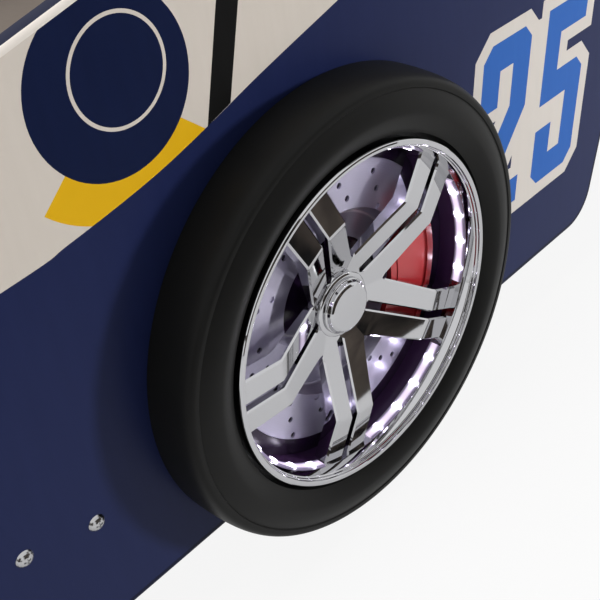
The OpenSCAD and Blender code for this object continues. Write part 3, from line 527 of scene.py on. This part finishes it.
# Side panels. Lean of the tail, rounding of its top corner, and distance from the rear axle to where the
# level top ends
TAIL_LEAN, TAIL_ROUND, LEVEL_FROM = math.radians(16.1), 60, 311.4
# Height of the low entry, and its ends as shares of the wheelbase
ENTRY_HEIGHT, ENTRY_START, ENTRY_END = 314, 0.2785, 0.4415
# Front wing: distance behind the front axle, and height
WING_BACK, WING_HEIGHT = 65, 386
# Nose: height of its top, how far that stands back, heights of the bumper's two ends, and how far the
# foot stands back
NOSE_HEIGHT, NOSE_BACK, BUMPER_TOP, BUMPER_FOOT, FOOT_BACK = 306, 41, 200, 80, 37
# Radius of the panel's rounded outer edge, the band of painted shade beside it, and the bevel at its back
EDGE_ROUND, EDGE_SHADE_BAND, BACK_BEVEL = 3.5, 3.0, 1.5
EDGE_STEPS = 6
# Radius round an axle within which the face is left open, because the wheel covers it
COVERED_R = 100
# How far above its border the cream starts to wrap round the edge
BORDER_MARGIN = 2
# Triangulation: only what lies inside an outline is kept, and points nearer than this are one point
INSIDE_ONLY, SAME_POINT = 1, 1e-4


def panel_corners():
    """Corners of the side panel as (x, z, rounding), counter-clockwise from the tail's foot."""
    foot_z, top_z = panel_low.z, panel_high.z
    height = top_z - foot_z
    slope = math.tan(TAIL_LEAN)
    foot_x = panel_high.x - TAIL_ROUND + TAIL_ROUND / math.cos(TAIL_LEAN) - (height - TAIL_ROUND) * slope
    entry_z = foot_z + ENTRY_HEIGHT
    wheelbase = REAR_X - FRONT_X
    nose_x = panel_low.x
    return [
        (foot_x, foot_z, 44), (foot_x + height * slope, top_z, TAIL_ROUND),
        (REAR_X + LEVEL_FROM, top_z, 400), (FRONT_X + ENTRY_END * wheelbase, entry_z, 280),
        (FRONT_X + ENTRY_START * wheelbase, entry_z, 280), (FRONT_X + WING_BACK, foot_z + WING_HEIGHT, 350),
        (nose_x + NOSE_BACK, foot_z + NOSE_HEIGHT, 70), (nose_x, foot_z + BUMPER_TOP, 90),
        (nose_x, foot_z + BUMPER_FOOT, 60), (nose_x + FOOT_BACK, foot_z, 45),
    ]


def outline(inset, steps=20):
    """The panel's outline moved inwards: each corner is an arc between its two sides, and its radius
    shrinks by the inset on an outer corner and grows by it on an inner one."""
    corners = panel_corners()
    out = []
    for k, (x, z, r) in enumerate(corners):
        here = np.array([x, z])
        before = np.array(corners[k - 1][:2]) - here
        after = np.array(corners[(k + 1) % len(corners)][:2]) - here
        u, v = before / np.linalg.norm(before), after / np.linalg.norm(after)
        bend = np.sign(-u[0] * v[1] + u[1] * v[0])
        half = math.acos(float(np.clip(u @ v, -1, 1))) / 2
        middle_line = (u + v) / np.linalg.norm(u + v)
        here = here + middle_line * bend * inset / math.sin(half)
        radius = r - bend * inset
        centre = here + middle_line * radius / math.sin(half)
        start = here + u * radius / math.tan(half) - centre
        t = np.linspace(0, (math.pi - 2 * half) * bend, steps)[:, None]
        out.append(centre + np.concatenate([
            start[0] * np.cos(t) - start[1] * np.sin(t), start[0] * np.sin(t) + start[1] * np.cos(t)
        ], -1))
    return np.concatenate(out)


def circle(x, z, r, start=0, end=360, steps=72):
    """Points on a circle or an arc, angles in degrees."""
    t = np.radians(np.linspace(start, end, steps, endpoint=(end - start) != 360))
    return np.stack([x + r * np.cos(t), z + r * np.sin(t)], -1)


def curve_through(points, steps=12):
    """A smooth curve through points: Catmull-Rom cubics between them."""
    p = np.asarray(points, float)
    p = np.concatenate([[2 * p[0] - p[1]], p, [2 * p[-1] - p[-2]]])
    t = np.linspace(0, 1, steps, endpoint=False)[:, None]
    out = [
        0.5 * (2 * b + (c - a) * t + (2 * a - 5 * b + 4 * c - d) * t ** 2 + (3 * b - a - 3 * c + d) * t ** 3)
        for a, b, c, d in zip(p, p[1:], p[2:], p[3:])
    ]
    return np.concatenate(out + [p[-2:-1]])


# Livery, as distances along the bed and up from the rear axle. The fields of colour reach past the
# panel's outline: to the nose, the tail, the top and the foot
FIELD_NOSE, FIELD_TAIL, FIELD_TOP, FIELD_FOOT = -1800, 620, 520, -140
# The line between the cream field and the navy one
BORDER = curve_through([
    (FIELD_NOSE, 150), (-1250, 148), (-800, 152), (-520, 160), (-262.7, 172.3), (-212.5, 177.8),
    (-147.5, 188.8), (-96.3, 202.2), (-45.2, 217.9), (35.1, 240.0), (200, 285), (420, 345),
    (FIELD_TAIL, 400),
])
# The roundel and its radius, the sector behind it, and the thin ring in it
ROUNDEL, ROUNDEL_R = (-158, 256), 58
SECTOR_R, SECTOR_START, SECTOR_END = 84, -140, -42
RING, RING_OUTER, RING_INNER = (-151, 262), 35, 32.6
# The stripe: its two lower corners, and how far it moves to the tail as it rises
STRIPE_LEFT, STRIPE_RIGHT, STRIPE_SLOPE = (-95.7, 202.3), (-73.9, 209.3), 0.3306
# Height of its upper end, which lies past the panel's sloping top edge
STRIPE_END = 358.99503

# Digits on a box 74 mm wide and 172 mm high, drawn upright
DIGITS = {
    "2": [(0, 112), (0, 160), (12, 172), (62, 172), (74, 160), (74, 96), (30, 36), (30, 27), (74, 27),
          (74, 0), (0, 0), (0, 42), (47, 106), (47, 145), (27, 145), (27, 112)],
    "5": [(2, 172), (70, 172), (70, 145), (27, 145), (27, 109), (62, 109), (74, 97), (74, 12), (62, 0),
          (12, 0), (0, 12), (0, 58), (27, 58), (27, 27), (47, 27), (47, 82), (2, 82)],
}
# Their white outline, a band of 13 mm round both digits, and the piece that fills the gap between them
DIGIT_EDGES = {
    "2": [(-13, 100), (-13, 166), (6, 185), (68, 185), (87, 166), (87, 91), (56, 47), (50, 40), (87, 40),
          (87, -13), (-13, -13), (-13, 47), (26, 100)],
    "5": [(-11, 185), (83, 185), (83, 132), (40, 132), (40, 122), (68, 122), (87, 103), (87, 6),
          (68, -13), (6, -13), (-13, 6), (-13, 71), (-11, 71)],
}
DIGIT_GAP = [(60, -13), (140, -13), (140, 170), (60, 170)]
# Each digit's distance behind the axle, the number's foot, and its lean
NUMBER = [("2", 183), ("5", 282)]
NUMBER_FOOT = -36
DIGIT_LEAN = math.tan(math.radians(8.4))

# Foils of the printed panel by name, in the order of its material slots
PRINTS = {
    "navy": navy, "cream": cream, "yellow": yellow, "deep_navy": deep_navy, "black": stripe_black,
    "number_blue": number_blue, "number_edge": number_edge, "edge_painted_highlight": edge_painted_highlight,
    "edge_painted_shade": edge_painted_shade,
}
PRINT_ORDER = list(PRINTS)


def digit(shape, x0):
    """A digit's outline leaned over: each point moves right by its height times the lean."""
    p = np.asarray(shape, float)
    return np.stack([x0 + p[:, 0] + DIGIT_LEAN * p[:, 1], NUMBER_FOOT + p[:, 1]], -1)


def livery(side):
    """Printed shapes in painting order, as (points from the rear axle, print). Digits on the right
    panel are flipped in place, so that they read from outside."""
    (left, low), (right, mid) = STRIPE_LEFT, STRIPE_RIGHT
    stripe = [
        STRIPE_LEFT, STRIPE_RIGHT, (right + STRIPE_SLOPE * (STRIPE_END - mid), STRIPE_END),
        (left + STRIPE_SLOPE * (STRIPE_END - low), STRIPE_END),
    ]
    shapes = [
        (np.concatenate([BORDER, [(FIELD_TAIL, FIELD_TOP), (FIELD_NOSE, FIELD_TOP)]]), "cream"),
        (np.concatenate([circle(*ROUNDEL, SECTOR_R, SECTOR_START, SECTOR_END), [ROUNDEL]]), "yellow"),
        (circle(*ROUNDEL, ROUNDEL_R), "deep_navy"),
        (circle(*RING, RING_OUTER), "cream"),
        (circle(*RING, RING_INNER), "deep_navy"),
        (np.array(stripe), "black"),
        (np.concatenate([BORDER[::-1], [(FIELD_NOSE, FIELD_FOOT), (FIELD_TAIL, FIELD_FOOT)]]), "navy"),
    ]
    block = [(digit(DIGIT_EDGES[name], x0), "number_edge") for name, x0 in NUMBER]
    block.append((digit(DIGIT_GAP, NUMBER[0][1]), "number_edge"))
    block += [(digit(DIGITS[name], x0), "number_blue") for name, x0 in NUMBER]
    if side < 0:
        xs = np.concatenate([p[:, 0] for p, _ in block])
        ends = xs.min() + xs.max()
        block = [(np.stack([ends - p[:, 0], p[:, 1]], -1), name) for p, name in block]
    return shapes + block


def counter_clockwise(points):
    """The same closed outline, turned round if its signed area is negative."""
    x, z = points[:, 0], points[:, 1]
    return points if np.sum(x * np.roll(z, -1) - np.roll(x, -1) * z) > 0 else points[::-1]


def printed_face(side):
    """The flat face as triangles that follow every printed line: a constrained triangulation of all
    outlines, in which each triangle takes the print of the last shape that covers it. The first two
    shapes are the face and the part of it inside the band of painted shade along its edge. Triangles off
    the face or behind a wheel are left out, and so are points that no triangle uses."""
    shapes = [(outline(EDGE_ROUND), "navy"), (outline(EDGE_ROUND + EDGE_SHADE_BAND), "navy")]
    shapes += [(p + np.array([REAR_X, AXLE_Z]), name) for p, name in livery(side)]
    covered = [circle(x, AXLE_Z, COVERED_R, steps=96) for x in (REAR_X, FRONT_X)]
    outlines = [counter_clockwise(p) for p in [p for p, _ in shapes] + covered]
    loops, start = [], 0
    for p in outlines:
        loops.append(list(range(start, start + len(p))))
        start += len(p)
    points = [tuple(p) for p in np.concatenate(outlines).tolist()]
    flat, _, triangles, _, _, owners = delaunay_2d_cdt(points, [], loops, INSIDE_ONLY, SAME_POINT)
    faces, prints = [], []
    for triangle, owner in zip(triangles, owners):
        if 0 not in owner or max(owner) >= len(shapes):
            continue
        name = shapes[max(owner)][1]
        faces.append(tuple(triangle))
        # Navy outside the band's inner line takes the painted shade of the edge
        prints.append(PRINT_ORDER.index("edge_painted_shade" if name == "navy" and 1 not in owner else name))
    used, faces = np.unique(np.array(faces), return_inverse=True)
    return np.array([(v.x, v.y) for v in flat])[used], faces.reshape(-1, 3), prints


def edge_rings():
    """Rings from the flat face's edge round to the back: a quarter circle, the board's edge and a
    small bevel, as (depth, points)."""
    t = np.linspace(0, math.pi / 2, EDGE_STEPS)
    rings = [(EDGE_ROUND * (1 - math.cos(a)), outline(EDGE_ROUND * (1 - math.sin(a)))) for a in t]
    return rings + [(BOARD - BACK_BEVEL, outline(0)), (BOARD, outline(BACK_BEVEL))]


def edge_prints(rings):
    """Prints of the edge's faces: a paler cream, a painted highlight, where that field wraps round the
    rounded part, from a little above its border, and a darker navy, painted shade, elsewhere."""
    border = BORDER + np.array([REAR_X, AXLE_Z])
    out = []
    for (_, ring), (depth, _) in zip(rings, rings[1:]):
        above = ring[:, 1] > np.interp(ring[:, 0], border[:, 0], border[:, 1]) + BORDER_MARGIN
        wrapped = above & (depth < EDGE_ROUND + SLACK)
        out += np.where(wrapped, PRINT_ORDER.index("edge_painted_highlight"), PRINT_ORDER.index("edge_painted_shade")).tolist()
    return out


def side_panel(side):
    """Points, faces and prints of a whole panel: the printed face, its rounded edge and its back."""
    flat, triangles, prints = printed_face(side)
    triangles = triangles[:, ::-1] if side < 0 else triangles
    points = [np.stack([flat[:, 0], np.full(len(flat), side * FACE_Y), flat[:, 1]], -1)]
    start = len(flat)
    rings = edge_rings()
    count = len(rings[0][1])
    for depth, ring in rings:
        points.append(np.stack([ring[:, 0], np.full(count, side * (FACE_Y + depth)), ring[:, 1]], -1))
    sides = grid_faces(len(rings), count, False, True) + start
    sides = sides[:, ::-1] if side > 0 else sides
    back = list(range(start + (len(rings) - 1) * count, start + len(rings) * count))
    back = back[::-1] if side > 0 else back
    prints = prints + edge_prints(rings) + [PRINT_ORDER.index("navy")]
    return np.concatenate(points), triangles.tolist() + sides.tolist() + [back], prints


for name, side in (("left", 1), ("right", -1)):
    points, faces, prints = side_panel(side)
    panel = make_piece("printed_panel_" + name, points, faces, list(PRINTS.values()), prints, angle=40)
    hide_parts("side_panel_" + name)


# Camera: the photograph's own view, solved from the wheel's circles. Which way it looks and its roll,
# its focal length and the picture's width in pixels, and its place from the wheel's centre at the panel
AIM_AZIMUTH, AIM_ELEVATION, AIM_ROLL = math.radians(41.29), math.radians(-36.59), math.radians(-8.56)
FOCAL_PIXELS, FRAME_PIXELS, SENSOR_WIDTH = 960.55, 600, 36
CAMERA_FROM_WHEEL = (-436.3, -451.2, 473.2)
look = np.array([
    math.sin(AIM_AZIMUTH) * math.cos(AIM_ELEVATION), math.cos(AIM_AZIMUTH) * math.cos(AIM_ELEVATION),
    math.sin(AIM_ELEVATION)
])
level = np.array([math.cos(AIM_AZIMUTH), -math.sin(AIM_AZIMUTH), 0])
upright = np.cross(level, look)
right = level * math.cos(AIM_ROLL) + upright * math.sin(AIM_ROLL)
up = -level * math.sin(AIM_ROLL) + upright * math.cos(AIM_ROLL)
camera = bpy.data.objects.new("camera", bpy.data.cameras.new("camera"))
bpy.context.scene.collection.objects.link(camera)
camera.data.sensor_width = SENSOR_WIDTH
camera.data.lens = SENSOR_WIDTH * FOCAL_PIXELS / FRAME_PIXELS
camera.data.clip_start = 0.05
place = (np.array(CAMERA_FROM_WHEEL) + np.array([REAR_X, FACE_Y, AXLE_Z])) * MM
camera.matrix_world = Matrix((
    (right[0], up[0], -look[0], place[0]), (right[1], up[1], -look[1], place[1]),
    (right[2], up[2], -look[2], place[2]), (0, 0, 0, 1),
))
bpy.context.scene.camera = camera


# Floor, world, lamps and cloths
bpy.context.scene.view_settings.view_transform = "Standard"
# Half the floor's width, and how much of its own white the camera and a mirror see instead of its shading
FLOOR_REACH, FLOOR_WHITE, FLOOR_MIRRORED = 9, 0.9, 0.55
# Strength of the world's light where the camera and mirrors don't see it
AMBIENT = 0.28
WHEEL_AT = (REAR_X * MM, FACE_Y * MM, AXLE_Z * MM)
# Lamps as (name, place, aim, width, watts). The key is as low as the floor allows, behind the tail, so
# that the tyre's shadow falls to the nose. The others fill from above and from the far side.
LAMPS = [
    ("key", (2.99, -2.59, 0.12), WHEEL_AT, 0.35, 86),
    ("top", (-0.2, 0.3, 3.0), (-0.2, 0, 0), 2.0, 85),
    ("far_side", (-1.9, 2.2, 1.2), (0, 0.4, 0.3), 1.2, 36),
]
# The cloths: gap from the panel, height, and reach to the nose and to the tail of each wheel
FLAG_GAP, FLAG_HEIGHT, FLAG_NOSE, FLAG_TAIL = 0.55, 0.5, 0.35, 0.62


def white_for_camera(material, base, share, mirror_share):
    """A pale floor: white to the camera and to mirrors, with part of its own shade, so that the
    object's shadow stays. Mirrors see more of that shade."""
    tree = material.node_tree
    rays = add(material, "ShaderNodeLightPath").outputs
    seen = calc(material, "MAXIMUM", rays["Is Camera Ray"], rays["Is Transmission Ray"])
    seen = calc(material, "MULTIPLY", seen, share)
    mirrored = calc(material, "MULTIPLY", rays["Is Glossy Ray"], mirror_share)
    part = calc(material, "MAXIMUM", seen, mirrored)
    white = add(material, "ShaderNodeEmission", {"Color": linear(base), "Strength": 1.0})
    shade = tree.nodes["Principled BSDF"].outputs[0]
    mix = add(material, "ShaderNodeMixShader", {0: part, 1: shade, 2: white.outputs[0]})
    tree.links.new(mix.outputs[0], tree.nodes["Material Output"].inputs["Surface"])


floor_paper, _ = new_material("studio paper", "#f4f4f2", roughness=0.9)
white_for_camera(floor_paper, "#ffffff", FLOOR_WHITE, FLOOR_MIRRORED)
floor_mesh = bpy.data.meshes.new("floor")
floor_mesh.from_pydata([
    (-FLOOR_REACH, -FLOOR_REACH, 0), (FLOOR_REACH, -FLOOR_REACH, 0),
    (FLOOR_REACH, FLOOR_REACH, 0), (-FLOOR_REACH, FLOOR_REACH, 0),
], [], [(0, 1, 2, 3)])
floor_mesh.materials.append(floor_paper)
floor = bpy.data.objects.new("floor", floor_mesh)
bpy.context.scene.collection.objects.link(floor)

world = bpy.data.worlds.new("studio")
bpy.context.scene.world = world
world.use_nodes = True
rays = add(world, "ShaderNodeLightPath").outputs
seen = calc(world, "MAXIMUM", rays["Is Camera Ray"], rays["Is Glossy Ray"])
seen = calc(world, "MAXIMUM", seen, rays["Is Transmission Ray"])
strength = add(world, "ShaderNodeMapRange", {"Value": seen, "To Min": AMBIENT, "To Max": 1.0})
background = world.node_tree.nodes["Background"]
background.inputs["Color"].default_value = linear("#ffffff")
world.node_tree.links.new(strength.outputs["Result"], background.inputs["Strength"])


def softbox(name, at, towards, size, watts):
    """A square lamp at a place in metres, turned to face another. It lights, but no mirror shows it."""
    lamp = bpy.data.lights.new(name, "AREA")
    lamp.shape = "SQUARE"
    lamp.size = size
    lamp.energy = watts
    piece = bpy.data.objects.new(name, lamp)
    bpy.context.scene.collection.objects.link(piece)
    piece.location = at
    piece.rotation_mode = "QUATERNION"
    piece.rotation_quaternion = (Vector(towards) - Vector(at)).to_track_quat("-Z", "Y")
    piece.visible_glossy = False


def flag(name, corners, cloth):
    """A dark studio cloth that only mirrors see: it gives plated pieces something dark to show."""
    mesh = bpy.data.meshes.new(name)
    mesh.from_pydata(corners, [], [(0, 1, 2, 3)])
    mesh.materials.append(cloth)
    piece = bpy.data.objects.new(name, mesh)
    bpy.context.scene.collection.objects.link(piece)
    piece.visible_camera = piece.visible_diffuse = piece.visible_transmission = False
    piece.visible_shadow = piece.visible_volume_scatter = False


for lamp in LAMPS:
    softbox(*lamp)
# The cloth is matt, in folds that run from black to a warm grey
flag_cloth, flag_shader = new_material("flag cloth", "#2b2624", roughness=0.95)
mottle(flag_cloth, flag_shader, "#050404", "#6c6259", size_mm=110, stretch=(1, 1, 0.6), contrast=3.5)
for wheel, axle_x, side in WHEELS:
    y = side * (FACE_Y * MM - FLAG_GAP)
    near, far = axle_x * MM - FLAG_NOSE, axle_x * MM + FLAG_TAIL
    corners = [(near, y, 0), (far, y, 0), (far, y, FLAG_HEIGHT), (near, y, FLAG_HEIGHT)]
    flag("flag_" + wheel, corners, flag_cloth)
